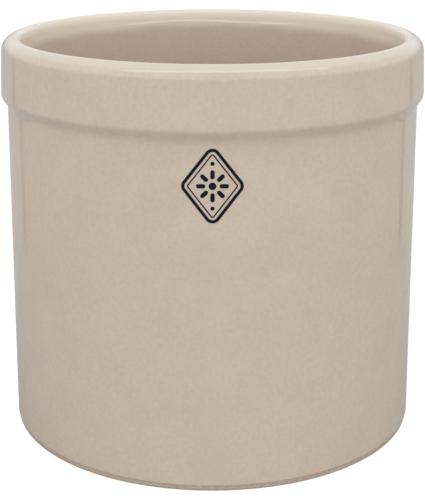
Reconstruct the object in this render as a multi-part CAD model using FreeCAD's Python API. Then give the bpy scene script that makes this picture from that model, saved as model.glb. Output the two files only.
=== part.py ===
import FreeCAD, Part
import math
import os
from FreeCAD import Vector

# Open stoneware crock, in millimetres. Z points up from the foot and the stamp faces -Y.

# Pot
WALL_RADIUS = 92.0          # outside of the glazed wall
CROCK_HEIGHT = 177.2        # foot to rim crest
MOUTH_RADIUS = 84.8         # inside of the glazed wall
FLOOR_TOP = 9.5             # glazed floor above the table
FLOOR_CORNER = 11.0         # round between wall and floor
HEEL_ROUND = 1.4            # outer edge of the foot

# Rim, from its outside over the crest and down to the inside wall
RIM_OUTER_ROUND = 5.8
RIM_INNER_ROUND = 2.4
LIP_RADIUS = 86.2           # inner edge of the crest, before it is rounded
SHOULDER_RADIUS = 85.3      # the lip slopes steeply down to here, then eases into the wall
SHOULDER_DROP = 2.8         # below the crest
SHOULDER_ROUND = 7.0
FLARE_DROP = 8.2            # below the crest, where the flare meets the wall
FLARE_ROUND = 30.0

# Collar band
COLLAR_RADIUS = 94.8        # at its lower edge
COLLAR_TOP_RADIUS = 93.9    # where the rim starts to round over
COLLAR_EDGE_Z = 151.8
COLLAR_ROOT_Z = 147.7       # where its underside meets the wall
COLLAR_EDGE_ROUND = 3.0
COLLAR_ROOT_ROUND = 5.0

# Foot
FOOT_INNER_RADIUS = 78.0    # standing ring, inner edge
RECESS_RADIUS = 75.5        # flat part of the recess under the floor
RECESS_DEPTH = 2.2
RECESS_ROUND = 1.0

# Glaze
GLAZE = 0.4                 # thickness of both coats
BARE_BAND = 3.0             # unglazed clay above the table
LINER_EDGE_RADIUS = 88.15   # the inner coat meets the outer one here, on the rim's crest

# Stamp on the front wall
STAMP_Z = 130.0
STAMP_WIDTH = 26.0          # lozenge frame, corner to corner before its corners are rounded
STAMP_HEIGHT = 34.0
FRAME_LINE = 1.25
FRAME_CORNER = 3.2          # round on the frame's outer corners
INNER_LINE = 0.5            # thin line inside the frame
INNER_GAP = 1.0
PETAL_COUNT = 8
PETAL_START = 2.8           # inner end of each petal, from the stamp's centre
PETAL_END = 6.4
PETAL_WIDTH = 1.7
DOT_RADIUS = 1.5            # middle of the rosette
END_DOT_RADIUS = 0.8        # one above and one below the rosette
END_DOT_OUT = 9.0           # from the stamp's centre
INK = 0.12                  # ink standing proud of the glaze
INK_BITE = 0.06             # ink sunk into the glaze
PROJECTION_DEPTH = 8.0      # length of the stamp's cutting prisms, through the wall's curve


def section_point(corner):
    return Vector(corner[0], 0, corner[1])


def rounded_section(corners):
    # Closed half-section in the XZ plane. Each corner is (radius from the axis, height, round).
    edges = []
    ends = []
    for i, corner in enumerate(corners):
        before = section_point(corners[i - 1])
        here = section_point(corner)
        after = section_point(corners[(i + 1) % len(corners)])
        to_before = (before - here).normalize()
        to_after = (after - here).normalize()
        if corner[2] == 0:
            ends.append((here, here, None))
            continue
        half = to_before.getAngle(to_after) / 2
        run = corner[2] / math.tan(half)
        middle = (to_before + to_after).normalize() * (corner[2] / math.sin(half) - corner[2])
        ends.append((here + to_before * run, here + to_after * run, here + middle))
    for i, (start, stop, middle) in enumerate(ends):
        if middle:
            edges.append(Part.Arc(start, middle, stop).toShape())
        following = ends[(i + 1) % len(ends)][0]
        if stop.distanceToPoint(following) > 1e-6:
            edges.append(Part.makeLine(stop, following))
    return Part.Wire(edges)


def crock_section(skin):
    # Outline of the crock with a skin of this thickness taken off everywhere but under the foot.
    return rounded_section([
        (0, RECESS_DEPTH, 0),
        (RECESS_RADIUS, RECESS_DEPTH, RECESS_ROUND),
        (FOOT_INNER_RADIUS, 0, RECESS_ROUND),
        (WALL_RADIUS - skin, 0, HEEL_ROUND),
        (WALL_RADIUS - skin, COLLAR_ROOT_Z, COLLAR_ROOT_ROUND + skin),
        (COLLAR_RADIUS - skin, COLLAR_EDGE_Z, COLLAR_EDGE_ROUND - skin),
        (COLLAR_TOP_RADIUS - skin, CROCK_HEIGHT - skin, RIM_OUTER_ROUND - skin),
        (LIP_RADIUS + skin, CROCK_HEIGHT - skin, RIM_INNER_ROUND - skin),
        (SHOULDER_RADIUS + skin, CROCK_HEIGHT - SHOULDER_DROP, SHOULDER_ROUND + skin),
        (MOUTH_RADIUS + skin, CROCK_HEIGHT - FLARE_DROP, FLARE_ROUND + skin),
        (MOUTH_RADIUS + skin, FLOOR_TOP - skin, FLOOR_CORNER + skin),
        (0, FLOOR_TOP - skin, 0),
    ])


def revolve(flat):
    # Rebuilt from its own outline, because a trimmed face may point either way.
    face = Part.Face(flat.Faces[0].OuterWire)
    return face.revolve(Vector(0, 0, 0), Vector(0, 0, 1), 360)


def strip(low_radius, high_radius, low_z, high_z):
    # Upright rectangle in the section plane, to trim faces with.
    corners = [Vector(low_radius, 0, low_z), Vector(high_radius, 0, low_z),
               Vector(high_radius, 0, high_z), Vector(low_radius, 0, high_z)]
    return Part.Face(Part.makePolygon(corners + corners[:1]))


def clay_and_coat():
    # Faces of the bare pot and of the glaze all round it.
    clay = Part.Face(crock_section(GLAZE))
    return clay, Part.Face(crock_section(0)).cut(clay)


def stoneware_body(clay):
    return revolve(clay)


def outside_glaze(coat):
    outer = strip(LINER_EDGE_RADIUS, 2 * WALL_RADIUS, BARE_BAND, 2 * CROCK_HEIGHT)
    return revolve(coat.common(outer))


def inside_glaze(coat):
    inner = strip(0, LINER_EDGE_RADIUS, GLAZE, 2 * CROCK_HEIGHT)
    return revolve(coat.common(inner))


def on_front(shape):
    # The stamp is drawn flat in XZ and pushed through the front wall along Y.
    shape.translate(Vector(0, -WALL_RADIUS - PROJECTION_DEPTH / 2, STAMP_Z))
    return shape.extrude(Vector(0, PROJECTION_DEPTH, 0))


def ink_layer():
    height = STAMP_HEIGHT * 1.5
    base = Vector(0, 0, STAMP_Z - height / 2)
    outer = Part.makeCylinder(WALL_RADIUS + INK, height, base)
    return outer.cut(Part.makeCylinder(WALL_RADIUS - INK_BITE, height, base))


def lozenge(inset):
    # Inset is measured square to the lozenge's sides.
    half_width = STAMP_WIDTH / 2
    half_height = STAMP_HEIGHT / 2
    side = math.hypot(half_width, half_height)
    shrink = 1 - inset * side / (half_width * half_height)
    x = half_width * shrink
    z = half_height * shrink
    round_here = FRAME_CORNER - inset
    corners = [(x, 0), (0, z), (-x, 0), (0, -z)]
    return Part.Face(rounded_section([(r, h, round_here) for r, h in corners]))


def lozenge_line(inset, width):
    return on_front(lozenge(inset).cut(lozenge(inset + width))).common(ink_layer())


def stamp_frame():
    return lozenge_line(0, FRAME_LINE)


def stamp_inner_line():
    return lozenge_line(FRAME_LINE + INNER_GAP, INNER_LINE)


def petal(turn):
    half = PETAL_WIDTH / 2
    near = PETAL_START + half
    far = PETAL_END - half
    edges = [
        Part.makeLine(Vector(-half, 0, near), Vector(-half, 0, far)),
        Part.Arc(Vector(-half, 0, far), Vector(0, 0, PETAL_END), Vector(half, 0, far)).toShape(),
        Part.makeLine(Vector(half, 0, far), Vector(half, 0, near)),
        Part.Arc(Vector(half, 0, near), Vector(0, 0, PETAL_START), Vector(-half, 0, near)).toShape(),
    ]
    face = Part.Face(Part.Wire(edges))
    face.rotate(Vector(0, 0, 0), Vector(0, 1, 0), turn)
    return face


def stamp_petals():
    layer = ink_layer()
    step = 360 / PETAL_COUNT
    return Part.makeCompound([
        on_front(petal(step * i)).common(layer).Solids[0] for i in range(PETAL_COUNT)])


def dot(height, radius):
    circle = Part.Circle(Vector(0, 0, height), Vector(0, 1, 0), radius)
    return on_front(Part.Face(Part.Wire(circle.toShape()))).common(ink_layer()).Solids[0]


def stamp_dots():
    return Part.makeCompound([
        dot(0, DOT_RADIUS), dot(END_DOT_OUT, END_DOT_RADIUS), dot(-END_DOT_OUT, END_DOT_RADIUS)])


def export(name, shape):
    shape.exportStep("parts/" + name + ".step")


def build():
    os.makedirs("parts", exist_ok=True)
    clay, coat = clay_and_coat()
    ink = {
        "stamp_frame": stamp_frame(),
        "stamp_inner_line": stamp_inner_line(),
        "stamp_petals": stamp_petals(),
        "stamp_dots": stamp_dots(),
    }
    glaze = outside_glaze(coat)
    for shape in ink.values():
        glaze = glaze.cut(shape)
    export("stoneware_body", stoneware_body(clay))
    export("outside_glaze", glaze)
    export("inside_glaze", inside_glaze(coat))
    for name, shape in ink.items():
        export(name, shape)


build()
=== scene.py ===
import math

import bmesh
import bpy
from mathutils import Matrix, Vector, noise


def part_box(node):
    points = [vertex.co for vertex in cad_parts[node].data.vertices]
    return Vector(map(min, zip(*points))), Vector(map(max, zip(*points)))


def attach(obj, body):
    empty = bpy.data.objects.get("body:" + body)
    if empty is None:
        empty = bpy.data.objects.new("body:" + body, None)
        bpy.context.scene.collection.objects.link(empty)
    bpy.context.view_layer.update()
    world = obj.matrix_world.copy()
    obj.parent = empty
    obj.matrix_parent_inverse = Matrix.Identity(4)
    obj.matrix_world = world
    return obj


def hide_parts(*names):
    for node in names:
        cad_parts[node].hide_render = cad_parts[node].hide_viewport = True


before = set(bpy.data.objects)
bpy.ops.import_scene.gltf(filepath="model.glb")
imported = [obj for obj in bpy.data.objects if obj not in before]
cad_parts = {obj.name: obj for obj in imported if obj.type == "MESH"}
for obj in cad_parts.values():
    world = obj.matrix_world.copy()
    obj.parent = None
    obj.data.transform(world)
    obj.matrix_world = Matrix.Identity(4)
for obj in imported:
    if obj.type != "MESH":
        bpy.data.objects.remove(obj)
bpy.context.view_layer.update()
print("frame loaded")

mm = 0.001

# Camera: a long lens a little above the rim, shifted down to keep the walls upright.
camera = {
    "distance": 570.4 * mm,     # from the crock's axis
    "height": 255.6 * mm,
    "tilt": 0.229,              # radians below level
    "lens": 91.25,
    "shiftDown": 0.20,
}

cameraData = bpy.data.cameras.new("camera")
cameraData.lens = camera["lens"]
cameraData.shift_y = -camera["shiftDown"]
cameraData.clip_start = 0.01
cameraObject = bpy.data.objects.new("camera", cameraData)
cameraObject.location = (0, -camera["distance"], camera["height"])
cameraObject.rotation_euler = (math.pi / 2 - camera["tilt"], 0, 0)
bpy.context.collection.objects.link(cameraObject)
bpy.context.scene.camera = cameraObject
bpy.context.scene.view_settings.view_transform = "Standard"
print("camera placed")

# The crock's section, shared by the pot and its two coats. Radii and heights in metres.
potLow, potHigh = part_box("outside_glaze")
crock = {
    "wallRadius": 92.0 * mm,
    "height": potHigh.z,
    "collarRadius": 94.8 * mm,
    "collarTopRadius": 93.9 * mm,
    "collarEdge": 151.8 * mm,
    "collarRoot": 147.7 * mm,
    "mouthRadius": 84.8 * mm,
    "lipRadius": 86.2 * mm,
    "shoulderRadius": 85.3 * mm,
    "shoulderDrop": 2.8 * mm,
    "flareDrop": 8.2 * mm,
    "floorTop": 9.5 * mm,
    "rootRound": 5.0 * mm,  # rounds, from under the collar over the rim to the floor
    "collarRound": 3.0 * mm,
    "rimRound": 5.8 * mm,
    "lipRound": 2.4 * mm,
    "shoulderRound": 7.0 * mm,
    "flareRound": 30.0 * mm,
    "floorRound": 11.0 * mm,
    "glaze": 0.4 * mm,
    "sectors": 8,           # the outline is spun through one sector, which is copied round
    "sectorSteps": 36,
    "rise": 2.8 * mm,       # longest step up a wall
    "lipRise": 0.22 * mm,   # and up the lip
    "lipDepth": 9.0 * mm,
}


def addSection(bm, corners, closed=False):
    # Outline in the XZ plane. Each corner is (radius, height, round, steps in the round).
    verts = [bm.verts.new((corner[0], 0, corner[1])) for corner in corners]
    for first, second in zip(verts, verts[1:] + verts[:1] if closed else verts[1:]):
        bm.edges.new((first, second))
    for i, corner in enumerate(corners):
        if corner[2] == 0:
            continue
        here = Vector(corner[:2])
        toBefore = (Vector(corners[i - 1][:2]) - here).normalized()
        toAfter = (Vector(corners[(i + 1) % len(corners)][:2]) - here).normalized()
        run = corner[2] / math.tan(toBefore.angle(toAfter) / 2)
        bmesh.ops.bevel(bm, geom=[verts[i]], offset=run, offset_type="OFFSET", segments=corner[3],
                        profile=0.5, affect="VERTICES", material=-1)


def spinSection(bm):
    # Long straight runs are divided first, then the outline is spun into a pot.
    for edge in bm.edges[:]:
        middle = (edge.verts[0].co + edge.verts[1].co) / 2
        rise = crock["lipRise"] if middle.z > crock["height"] - crock["lipDepth"] else crock["rise"]
        cuts = int(edge.calc_length() / rise)
        if cuts > 0:
            bmesh.ops.subdivide_edges(bm, edges=[edge], cuts=cuts)
    sector = 2 * math.pi / crock["sectors"]
    copies = crock["sectors"] - 1
    bmesh.ops.spin(bm, geom=bm.verts[:] + bm.edges[:], axis=(0, 0, 1), cent=(0, 0, 0),
                   angle=sector, steps=crock["sectorSteps"])
    bmesh.ops.spin(bm, geom=bm.verts[:] + bm.edges[:] + bm.faces[:], axis=(0, 0, 1),
                   cent=(0, 0, 0), angle=sector * copies, steps=copies, use_duplicate=True)
    bmesh.ops.remove_doubles(bm, verts=bm.verts[:], dist=1e-6)


def finishPiece(bm, name, material, slot, *nodes):
    bmesh.ops.recalc_face_normals(bm, faces=bm.faces[:])
    for face in bm.faces:
        face.smooth = True
    for edge in bm.edges:
        edge.smooth = edge.calc_face_angle(0) < math.radians(35)
    mesh = bpy.data.meshes.new(name)
    bm.to_mesh(mesh)
    bm.free()
    piece = bpy.data.objects.new(name, mesh)
    piece.data.materials.append(material)
    bpy.context.collection.objects.link(piece)
    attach(piece, "root")
    if nodes:
        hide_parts(*nodes)
    return piece


stampLow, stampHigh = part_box("stamp_frame")
stampCentre = Vector((0, stampLow.y, (stampLow.z + stampHigh.z) / 2))
uneven = {
    "broad": 0.10 * mm,     # slow waves over the wall
    "broadAcross": 14,      # how closely they follow each other across and up, per metre
    "broadUp": 9,
    "ridges": 0.045 * mm,   # faint turning marks
    "ridgesAcross": 5,
    "ridgesUp": 60,
    "calmInside": 20 * mm,  # the wall is true under the stamp, and uneven again from the second
    "calmOutside": 40 * mm,
}


def wobble(place):
    # Small hand-worked unevenness of the wall, as a change of radius.
    wave = uneven["broadAcross"]
    broad = noise.noise(Vector((place.x * wave, place.y * wave, place.z * uneven["broadUp"])))
    wave = uneven["ridgesAcross"]
    ridges = noise.noise(Vector((place.x * wave, place.y * wave, place.z * uneven["ridgesUp"] + 7)))
    away = (place - stampCentre).length - uneven["calmInside"]
    calm = min(max(away / (uneven["calmOutside"] - uneven["calmInside"]), 0), 1)
    return calm * (uneven["broad"] * broad + uneven["ridges"] * ridges)


def unevenWall(bm):
    for vert in bm.verts:
        grow = 1 + wobble(vert.co) / crock["wallRadius"]
        vert.co.x *= grow
        vert.co.y *= grow


foot = {
    "ringInner": 78.0 * mm,
    "recessRadius": 75.5 * mm,
    "recessDepth": 2.2 * mm,
    "recessRound": 1.0 * mm,
    "heelRound": 1.4 * mm,
    "bareBand": 3.0 * mm,
}

coats = {
    "meetRadius": 88.15 * mm,   # the two coats meet on the flat of the crest
    "beadOut": 0.05 * mm,       # the lower edge of the outside coat swells this much
    "beadRound": 0.3 * mm,
}


def wallCorners(skin):
    # Outside of the crock from the foot to the crest, this far under the glazed surface.
    return [
        (crock["wallRadius"] - skin, crock["collarRoot"], crock["rootRound"] + skin, 8),
        (crock["collarRadius"] - skin, crock["collarEdge"], crock["collarRound"] - skin, 10),
        (crock["collarTopRadius"] - skin, crock["height"] - skin, crock["rimRound"] - skin, 16),
    ]


def lipCorners(skin):
    # Inside of the crock from the crest to the middle of the floor.
    shoulder = crock["height"] - crock["shoulderDrop"]
    flare = crock["height"] - crock["flareDrop"]
    return [
        (crock["lipRadius"] + skin, crock["height"] - skin, crock["lipRound"] - skin, 10),
        (crock["shoulderRadius"] + skin, shoulder, crock["shoulderRound"] + skin, 8),
        (crock["mouthRadius"] + skin, flare, crock["flareRound"] + skin, 8),
        (crock["mouthRadius"] + skin, crock["floorTop"] - skin, crock["floorRound"] + skin, 12),
        (0, crock["floorTop"] - skin, 0, 0),
    ]


def makeClayPot(material):
    skin = crock["glaze"]
    bm = bmesh.new()
    addSection(bm, [
        (0, foot["recessDepth"], 0, 0),
        (foot["recessRadius"], foot["recessDepth"], foot["recessRound"], 4),
        (foot["ringInner"], 0, foot["recessRound"], 4),
        (crock["wallRadius"] - skin, 0, foot["heelRound"], 6),
        *wallCorners(skin), *lipCorners(skin)])
    spinSection(bm)
    unevenWall(bm)
    return finishPiece(bm, "clayPot", material, "bare_clay", "stoneware_body")


def makeOutsideCoat(material):
    skin = crock["glaze"]
    bm = bmesh.new()
    addSection(bm, [
        (crock["wallRadius"] - skin, foot["bareBand"] - coats["beadRound"], 0, 0),
        (crock["wallRadius"] + coats["beadOut"], foot["bareBand"], coats["beadRound"], 4),
        (crock["wallRadius"], foot["bareBand"] + 6 * coats["beadRound"], coats["beadRound"], 2),
        *wallCorners(0),
        (coats["meetRadius"], crock["height"], 0, 0),
        (coats["meetRadius"], crock["height"] - skin, 0, 0),
        *reversed(wallCorners(skin))], closed=True)
    spinSection(bm)
    unevenWall(bm)
    return finishPiece(bm, "outsideCoat", material, "outside_glaze", "outside_glaze")


# At the back the liner glaze has run down, and thickens at a wavering edge just under the rim.
run = {
    "drop": 5.2 * mm,       # below the crest
    "waver": 1.0 * mm,
    "proud": 0.3 * mm,
    "edge": 0.9 * mm,       # the step into the thick glaze
    "fade": 3.6 * mm,       # it thins out again over this much wall
    "backStart": 0.82,      # how far to the back it begins, and is full. 1 is straight behind
    "backFull": 0.95,
}


def thickenRun(bm):
    for vert in bm.verts:
        if vert.co.z < crock["height"] - crock["lipDepth"] or vert.co.xy.length > crock["lipRadius"]:
            continue
        around = vert.co.xy.normalized()
        waver = run["waver"] * noise.noise(Vector((around.x * 3.5, around.y * 3.5, 2)))
        swell = (around.y - run["backStart"]) / (run["backFull"] - run["backStart"])
        swell = min(max(swell, 0), 1)
        swell *= min(max(0.8 + 1.4 * noise.noise(Vector((around.x * 6, around.y * 6, 5))), 0), 1)
        below = crock["height"] - run["drop"] + waver - vert.co.z
        step = min(max(below / run["edge"], 0), 1)
        rise = step * step * (3 - 2 * step) * max(1 - below / run["fade"], 0)
        vert.co.xy -= around * run["proud"] * swell * rise


def makeInsideCoat(material):
    skin = crock["glaze"]
    bm = bmesh.new()
    addSection(bm, [
        *reversed(lipCorners(skin)),
        (coats["meetRadius"], crock["height"] - skin, 0, 0),
        (coats["meetRadius"], crock["height"], 0, 0),
        *lipCorners(0)])
    spinSection(bm)
    unevenWall(bm)
    thickenRun(bm)
    return finishPiece(bm, "insideCoat", material, "inside_glaze", "inside_glaze")


def startMaterial(name):
    material = bpy.data.materials.new(name)
    material.use_nodes = True
    material.node_tree.nodes.clear()
    return material, material.node_tree.nodes, material.node_tree.links


def addFrame(nodes, label, members):
    frameNode = nodes.new("NodeFrame")
    frameNode.label = label
    for node in members:
        node.parent = frameNode


# The outside crest is painted paler: a painted highlight along the rim. It fades out this far below the
# crest.
outsideRimPaintedHighlight = {
    "colour": (0.64, 0.585, 0.485, 1),
    "fadeStart": 2.2 * mm,
    "fadeEnd": 0.7 * mm,
    "waver": 1.0 * mm,
    "share": 0.85,
}
# Inside the lip a much paler colour is painted: painted light for the bright room reflected there.
insideLipPaintedLight = {
    "colour": (0.75, 0.675, 0.565, 1),
    "fadeStart": 9.8 * mm,
    "fadeEnd": 4.4 * mm,
    "waver": 2.2 * mm,
    "share": 0.95,
}


def glazeMaterial(name, deep, pale, rim, seed):
    # Oatmeal glaze: soft clouds, fine grain and iron specks under a smooth gloss, with painted light on
    # the rim: a paler colour near the crest.
    material, nodes, links = startMaterial(name)

    place = nodes.new("ShaderNodeTexCoord")
    place.label = "place on the crock"
    place.location = (-1500, 0)
    shift = nodes.new("ShaderNodeMapping")
    shift.label = "own patch of pattern"
    shift.location = (-1300, 0)
    shift.inputs["Location"].default_value = (seed, seed * 0.7, seed * 0.3)
    links.new(place.outputs["Object"], shift.inputs["Vector"])

    clouds = nodes.new("ShaderNodeTexNoise")
    clouds.label = "clouds in the glaze"
    clouds.location = (-1050, 300)
    clouds.inputs["Scale"].default_value = 60
    clouds.inputs["Detail"].default_value = 5
    clouds.inputs["Roughness"].default_value = 0.6
    links.new(shift.outputs["Vector"], clouds.inputs["Vector"])
    grain = nodes.new("ShaderNodeTexNoise")
    grain.label = "fine grain of the fired glaze"
    grain.location = (-1050, 50)
    grain.inputs["Scale"].default_value = 620
    grain.inputs["Detail"].default_value = 3
    links.new(shift.outputs["Vector"], grain.inputs["Vector"])
    blend = nodes.new("ShaderNodeMix")
    blend.label = "grain over clouds"
    blend.location = (-820, 200)
    blend.data_type = "FLOAT"
    blend.inputs["Factor"].default_value = 0.6
    links.new(clouds.outputs["Fac"], blend.inputs["A"])
    links.new(grain.outputs["Fac"], blend.inputs["B"])
    tone = nodes.new("ShaderNodeValToRGB")
    tone.label = "deep to pale oatmeal"
    tone.location = (-600, 200)
    tone.color_ramp.elements[0].position = 0.36
    tone.color_ramp.elements[0].color = (*deep, 1)
    tone.color_ramp.elements[1].position = 0.64
    tone.color_ramp.elements[1].color = (*pale, 1)
    links.new(blend.outputs["Result"], tone.inputs["Fac"])
    addFrame(nodes, "mottled colour", [clouds, grain, blend, tone])

    # Painted highlight and painted light: a paler colour painted near the crest, fading out below it.
    upright = nodes.new("ShaderNodeSeparateXYZ")
    upright.label = "height on the crock"
    upright.location = (-1050, 700)
    links.new(place.outputs["Object"], upright.inputs["Vector"])
    waver = nodes.new("ShaderNodeTexNoise")
    waver.label = "uneven edge of the pale rim"
    waver.location = (-1050, 550)
    waver.inputs["Scale"].default_value = 70
    links.new(shift.outputs["Vector"], waver.inputs["Vector"])
    edge = nodes.new("ShaderNodeMath")
    edge.label = "height with an uneven edge"
    edge.location = (-820, 650)
    edge.operation = "MULTIPLY_ADD"
    edge.inputs[1].default_value = rim["waver"]
    links.new(waver.outputs["Fac"], edge.inputs[0])
    links.new(upright.outputs["Z"], edge.inputs[2])
    paintedRimMask = nodes.new("ShaderNodeMapRange")
    paintedRimMask.label = "pale rim"
    paintedRimMask.location = (-600, 600)
    paintedRimMask.interpolation_type = "SMOOTHSTEP"
    paintedRimMask.inputs["From Min"].default_value = crock["height"] - rim["fadeStart"]
    paintedRimMask.inputs["From Max"].default_value = crock["height"] - rim["fadeEnd"]
    paintedRimMask.inputs["To Max"].default_value = rim["share"]
    links.new(edge.outputs["Value"], paintedRimMask.inputs["Value"])
    rimmed = nodes.new("ShaderNodeMix")
    rimmed.label = "paler on the rim"
    rimmed.location = (-400, 400)
    rimmed.data_type = "RGBA"
    rimmed.inputs["B"].default_value = rim["colour"]
    links.new(paintedRimMask.outputs["Result"], rimmed.inputs["Factor"])
    links.new(tone.outputs["Color"], rimmed.inputs["A"])
    addFrame(nodes, "pale rim", [upright, waver, edge, paintedRimMask, rimmed])

    cells = nodes.new("ShaderNodeTexVoronoi")
    cells.label = "scattered iron specks"
    cells.location = (-1050, -250)
    cells.inputs["Scale"].default_value = 95
    links.new(shift.outputs["Vector"], cells.inputs["Vector"])
    few = nodes.new("ShaderNodeSeparateColor")
    few.label = "one number for each cell"
    few.location = (-850, -150)
    links.new(cells.outputs["Color"], few.inputs["Color"])
    speckSize = nodes.new("ShaderNodeMapRange")
    speckSize.label = "only a few cells have a speck"
    speckSize.location = (-650, -150)
    speckSize.inputs["From Min"].default_value = 0.90
    speckSize.inputs["From Max"].default_value = 1.0
    speckSize.inputs["To Min"].default_value = 0.0
    speckSize.inputs["To Max"].default_value = 0.075
    links.new(few.outputs["Red"], speckSize.inputs["Value"])
    speckMask = nodes.new("ShaderNodeMapRange")
    speckMask.label = "soft edge of a speck"
    speckMask.location = (-450, -250)
    speckMask.interpolation_type = "SMOOTHSTEP"
    speckMask.inputs["From Min"].default_value = 0.0
    speckMask.inputs["To Min"].default_value = 0.75
    speckMask.inputs["To Max"].default_value = 0.0
    links.new(cells.outputs["Distance"], speckMask.inputs["Value"])
    links.new(speckSize.outputs["Result"], speckMask.inputs["From Max"])
    specked = nodes.new("ShaderNodeMix")
    specked.label = "iron specks on the glaze"
    specked.location = (-220, 150)
    specked.data_type = "RGBA"
    specked.inputs["B"].default_value = (0.12, 0.07, 0.045, 1)
    links.new(speckMask.outputs["Result"], specked.inputs["Factor"])
    links.new(rimmed.outputs["Result"], specked.inputs["A"])
    addFrame(nodes, "iron specks", [cells, few, speckSize, speckMask, specked])

    orangePeel = nodes.new("ShaderNodeTexNoise")
    orangePeel.label = "faint ripple of the glaze skin"
    orangePeel.location = (-650, -500)
    orangePeel.inputs["Scale"].default_value = 160
    orangePeel.inputs["Detail"].default_value = 2
    links.new(shift.outputs["Vector"], orangePeel.inputs["Vector"])
    ripple = nodes.new("ShaderNodeBump")
    ripple.label = "ripple height"
    ripple.location = (-220, -450)
    ripple.inputs["Strength"].default_value = 0.12
    ripple.inputs["Distance"].default_value = 0.0004
    links.new(orangePeel.outputs["Fac"], ripple.inputs["Height"])
    gloss = nodes.new("ShaderNodeMapRange")
    gloss.label = "gloss varies with the clouds"
    gloss.location = (-450, -50)
    gloss.inputs["From Min"].default_value = 0.3
    gloss.inputs["From Max"].default_value = 0.7
    gloss.inputs["To Min"].default_value = 0.08
    gloss.inputs["To Max"].default_value = 0.16
    links.new(clouds.outputs["Fac"], gloss.inputs["Value"])
    addFrame(nodes, "skin of the glaze", [orangePeel, ripple, gloss])

    surface = nodes.new("ShaderNodeBsdfPrincipled")
    surface.label = "fired glaze"
    surface.location = (50, 0)
    surface.inputs["IOR"].default_value = 1.5
    links.new(specked.outputs["Result"], surface.inputs["Base Color"])
    links.new(gloss.outputs["Result"], surface.inputs["Roughness"])
    links.new(ripple.outputs["Normal"], surface.inputs["Normal"])
    output = nodes.new("ShaderNodeOutputMaterial")
    output.label = "surface"
    output.location = (350, 0)
    links.new(surface.outputs["BSDF"], output.inputs["Surface"])
    return material


def clayMaterial(name):
    material, nodes, links = startMaterial(name)
    place = nodes.new("ShaderNodeTexCoord")
    place.label = "place on the crock"
    place.location = (-1100, 0)
    sand = nodes.new("ShaderNodeTexNoise")
    sand.label = "sandy grain"
    sand.location = (-850, 100)
    sand.inputs["Scale"].default_value = 900
    sand.inputs["Detail"].default_value = 4
    links.new(place.outputs["Object"], sand.inputs["Vector"])
    tone = nodes.new("ShaderNodeValToRGB")
    tone.label = "toasted clay"
    tone.location = (-600, 100)
    tone.color_ramp.elements[0].position = 0.35
    tone.color_ramp.elements[0].color = (0.46, 0.355, 0.29, 1)
    tone.color_ramp.elements[1].position = 0.65
    tone.color_ramp.elements[1].color = (0.57, 0.46, 0.38, 1)
    links.new(sand.outputs["Fac"], tone.inputs["Fac"])
    addFrame(nodes, "toasted colour", [sand, tone])
    rough = nodes.new("ShaderNodeBump")
    rough.label = "gritty surface"
    rough.location = (-350, -200)
    rough.inputs["Strength"].default_value = 0.35
    rough.inputs["Distance"].default_value = 0.0003
    links.new(sand.outputs["Fac"], rough.inputs["Height"])
    surface = nodes.new("ShaderNodeBsdfPrincipled")
    surface.label = "bare fired clay"
    surface.location = (-100, 0)
    surface.inputs["Roughness"].default_value = 0.85
    links.new(tone.outputs["Color"], surface.inputs["Base Color"])
    links.new(rough.outputs["Normal"], surface.inputs["Normal"])
    output = nodes.new("ShaderNodeOutputMaterial")
    output.label = "surface"
    output.location = (200, 0)
    links.new(surface.outputs["BSDF"], output.inputs["Surface"])
    return material


def inkMaterial(name):
    material, nodes, links = startMaterial(name)
    place = nodes.new("ShaderNodeTexCoord")
    place.label = "place on the crock"
    place.location = (-1100, 0)
    density = nodes.new("ShaderNodeTexNoise")
    density.label = "uneven ink"
    density.location = (-850, 100)
    density.inputs["Scale"].default_value = 700
    density.inputs["Detail"].default_value = 3
    links.new(place.outputs["Object"], density.inputs["Vector"])
    tone = nodes.new("ShaderNodeValToRGB")
    tone.label = "blue black ink"
    tone.location = (-600, 100)
    tone.color_ramp.elements[0].position = 0.3
    tone.color_ramp.elements[0].color = (0.001, 0.001, 0.003, 1)
    tone.color_ramp.elements[1].position = 0.75
    tone.color_ramp.elements[1].color = (0.007, 0.007, 0.02, 1)
    links.new(density.outputs["Fac"], tone.inputs["Fac"])
    addFrame(nodes, "ink colour", [density, tone])
    surface = nodes.new("ShaderNodeBsdfPrincipled")
    surface.label = "fired ink"
    surface.location = (-100, 0)
    surface.inputs["Roughness"].default_value = 0.3
    surface.inputs["Specular IOR Level"].default_value = 0.2
    links.new(tone.outputs["Color"], surface.inputs["Base Color"])
    output = nodes.new("ShaderNodeOutputMaterial")
    output.label = "surface"
    output.location = (200, 0)
    links.new(surface.outputs["BSDF"], output.inputs["Surface"])
    return material


outsideGlaze = glazeMaterial("outsideGlaze", (0.585, 0.495, 0.395), (0.645, 0.55, 0.445), outsideRimPaintedHighlight, 0.0)
# The inside glaze is painted a little darker than the outside glaze: painted shade for the inside of the
# crock.
insideGlaze = glazeMaterial("insideGlaze", (0.56, 0.46, 0.38), (0.61, 0.51, 0.425), insideLipPaintedLight, 0.4)
bareClay = clayMaterial("bareClay")
stampInk = inkMaterial("stampInk")
print("materials made")

makeClayPot(bareClay)
makeOutsideCoat(outsideGlaze)
makeInsideCoat(insideGlaze)
for name in ("stamp_frame", "stamp_inner_line", "stamp_petals", "stamp_dots"):
    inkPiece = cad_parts[name]
    inkPiece.data.materials.clear()
    inkPiece.data.materials.append(stampInk)
print("crock made")

studio = {
    "floorSize": 3.0,
    "floorShade": 0.55,     # how much light the floor throws back
    "floorShadow": 0.07,    # how much of the crock's shadow shows on it
    "behind": 1.0,          # brightness of the room behind the crock
    "inFront": 1.42,
    "skirting": 0.45,       # share of it at floor level
    "skirtingTop": 0.22,    # where it is whole. 0 is level and 1 is straight up
    "overhead": 0.45,       # share of it straight up
    "topBoxPlace": (0.1, -0.585, 1.65),
    "topBoxSize": (2.8, 0.45),
    "topBoxPower": 9,
}

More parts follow.
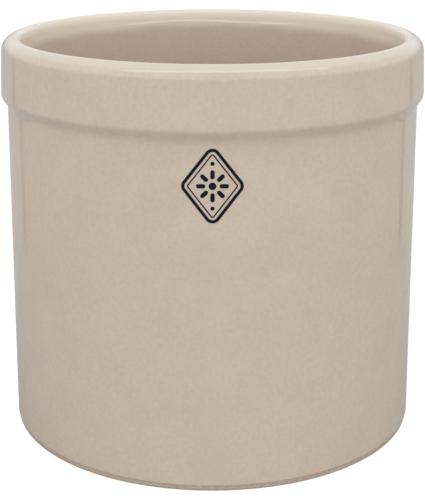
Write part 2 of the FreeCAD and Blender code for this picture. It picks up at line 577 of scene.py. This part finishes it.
floorMesh = bmesh.new()
bmesh.ops.create_grid(floorMesh, x_segments=1, y_segments=1, size=studio["floorSize"])
floorData = bpy.data.meshes.new("floor")
floorMesh.to_mesh(floorData)
floorMesh.free()
floorObject = bpy.data.objects.new("floor", floorData)
bpy.context.collection.objects.link(floorObject)

# The floor looks like clean white paper, and throws a softer light back at the crock.
floorPaint, floorNodes, floorLinks = startMaterial("floorPaint")
rays = floorNodes.new("ShaderNodeLightPath")
rays.label = "seen or only lighting"
rays.location = (-600, 300)
seenShare = floorNodes.new("ShaderNodeMath")
seenShare.label = "leave a trace of shadow"
seenShare.location = (-350, 250)
seenShare.operation = "MULTIPLY"
seenShare.inputs[1].default_value = 1 - studio["floorShadow"]
floorLinks.new(rays.outputs["Is Camera Ray"], seenShare.inputs[0])
dull = floorNodes.new("ShaderNodeBsdfDiffuse")
dull.label = "light thrown back"
dull.location = (-350, 0)
dull.inputs["Color"].default_value = (studio["floorShade"],) * 3 + (1,)
paper = floorNodes.new("ShaderNodeEmission")
paper.label = "white paper"
paper.location = (-350, -200)
paper.inputs["Color"].default_value = (1, 1, 0.96, 1)
paper.inputs["Strength"].default_value = 1.1
floorMix = floorNodes.new("ShaderNodeMixShader")
floorMix.label = "pale floor"
floorMix.location = (-50, 0)
floorLinks.new(seenShare.outputs["Value"], floorMix.inputs["Fac"])
floorLinks.new(dull.outputs["BSDF"], floorMix.inputs[1])
floorLinks.new(paper.outputs["Emission"], floorMix.inputs[2])
floorOutput = floorNodes.new("ShaderNodeOutputMaterial")
floorOutput.label = "surface"
floorOutput.location = (200, 0)
floorLinks.new(floorMix.outputs["Shader"], floorOutput.inputs["Surface"])
floorData.materials.append(floorPaint)

# A pale room, brighter in front of the crock and dimmer at the skirting and the ceiling.
world = bpy.data.worlds.new("room")
bpy.context.scene.world = world
world.use_nodes = True
worldNodes = world.node_tree.nodes
worldLinks = world.node_tree.links
worldNodes.clear()
toward = worldNodes.new("ShaderNodeTexCoord")
toward.label = "direction into the room"
toward.location = (-1200, 0)
split = worldNodes.new("ShaderNodeSeparateXYZ")
split.label = "height and depth"
split.location = (-1000, 0)
worldLinks.new(toward.outputs["Generated"], split.inputs["Vector"])
heights = worldNodes.new("ShaderNodeValToRGB")
heights.label = "brightness from skirting to ceiling"
heights.location = (-750, 200)
heights.color_ramp.elements[0].color = (studio["skirting"],) * 3 + (1,)
heights.color_ramp.elements[1].color = (studio["overhead"],) * 3 + (1,)
aboveSkirting = heights.color_ramp.elements.new(studio["skirtingTop"])
aboveSkirting.color = (1, 1, 1, 1)
worldLinks.new(split.outputs["Z"], heights.inputs["Fac"])
depths = worldNodes.new("ShaderNodeMapRange")
depths.label = "brighter in front"
depths.location = (-750, -100)
depths.interpolation_type = "SMOOTHSTEP"
depths.inputs["From Min"].default_value = 0.1
depths.inputs["From Max"].default_value = 0.6
depths.inputs["To Min"].default_value = studio["inFront"]
depths.inputs["To Max"].default_value = studio["behind"]
worldLinks.new(split.outputs["Y"], depths.inputs["Value"])
roomLight = worldNodes.new("ShaderNodeBackground")
roomLight.label = "light of the room"
roomLight.location = (-400, 100)
worldLinks.new(heights.outputs["Color"], roomLight.inputs["Color"])
worldLinks.new(depths.outputs["Result"], roomLight.inputs["Strength"])
backdrop = worldNodes.new("ShaderNodeBackground")
backdrop.label = "white backdrop"
backdrop.location = (-400, -100)
backdrop.inputs["Color"].default_value = (1, 1, 0.96, 1)
worldRays = worldNodes.new("ShaderNodeLightPath")
worldRays.label = "seen or only lighting"
worldRays.location = (-400, 450)
worldMix = worldNodes.new("ShaderNodeMixShader")
worldMix.label = "room"
worldMix.location = (-100, 0)
worldLinks.new(worldRays.outputs["Is Camera Ray"], worldMix.inputs["Fac"])
worldLinks.new(roomLight.outputs["Background"], worldMix.inputs[1])
worldLinks.new(backdrop.outputs["Background"], worldMix.inputs[2])
worldOutput = worldNodes.new("ShaderNodeOutputWorld")
worldOutput.label = "room"
worldOutput.location = (150, 0)
worldLinks.new(worldMix.outputs["Shader"], worldOutput.inputs["Surface"])


def addSoftLight(name, place, size, power):
    lightData = bpy.data.lights.new(name, "AREA")
    lightData.shape = "RECTANGLE"
    lightData.size, lightData.size_y = size
    lightData.energy = power
    light = bpy.data.objects.new(name, lightData)
    light.location = place
    aim = Vector((0, 0, crock["height"] / 2)) - Vector(place)
    light.rotation_euler = aim.to_track_quat("-Z", "Y").to_euler()
    light.visible_camera = False
    bpy.context.collection.objects.link(light)


addSoftLight("topBox", studio["topBoxPlace"], studio["topBoxSize"], studio["topBoxPower"])

# A low curved board stands each side of the crock, out of view. Its dark rear edge draws a fine
# line just inside each edge of the gloss.
boards = {
    "radius": 350 * mm,
    "height": 160 * mm,
    "start": math.radians(61.5),    # from straight behind the crock
    "darkEdge": math.radians(3.2),
    "sweep": math.radians(52),
    "edgeShade": 0.02,
    "shade": 0.68,
}


def makeBoard(name, start, sweep, shade):
    paint, nodes, links = startMaterial(name)
    surface = nodes.new("ShaderNodeBsdfDiffuse")
    surface.label = "painted board"
    surface.location = (0, 0)
    surface.inputs["Color"].default_value = (shade, shade, shade, 1)
    output = nodes.new("ShaderNodeOutputMaterial")
    output.label = "surface"
    output.location = (250, 0)
    links.new(surface.outputs["BSDF"], output.inputs["Surface"])
    bm = bmesh.new()
    x = boards["radius"] * math.sin(start)
    y = boards["radius"] * math.cos(start)
    bm.edges.new((bm.verts.new((x, y, 0)), bm.verts.new((x, y, boards["height"]))))
    bmesh.ops.spin(bm, geom=bm.verts[:] + bm.edges[:], axis=(0, 0, 1), cent=(0, 0, 0),
                   angle=-sweep, steps=16)
    mesh = bpy.data.meshes.new(name)
    bm.to_mesh(mesh)
    bm.free()
    mesh.materials.append(paint)
    board = bpy.data.objects.new(name, mesh)
    board.visible_camera = False
    bpy.context.collection.objects.link(board)


for side in (-1, 1):
    makeBoard("boardEdge", side * boards["start"], side * boards["darkEdge"], boards["edgeShade"])
    makeBoard("board", side * (boards["start"] + boards["darkEdge"]), side * boards["sweep"],
              boards["shade"])
print("studio lit")
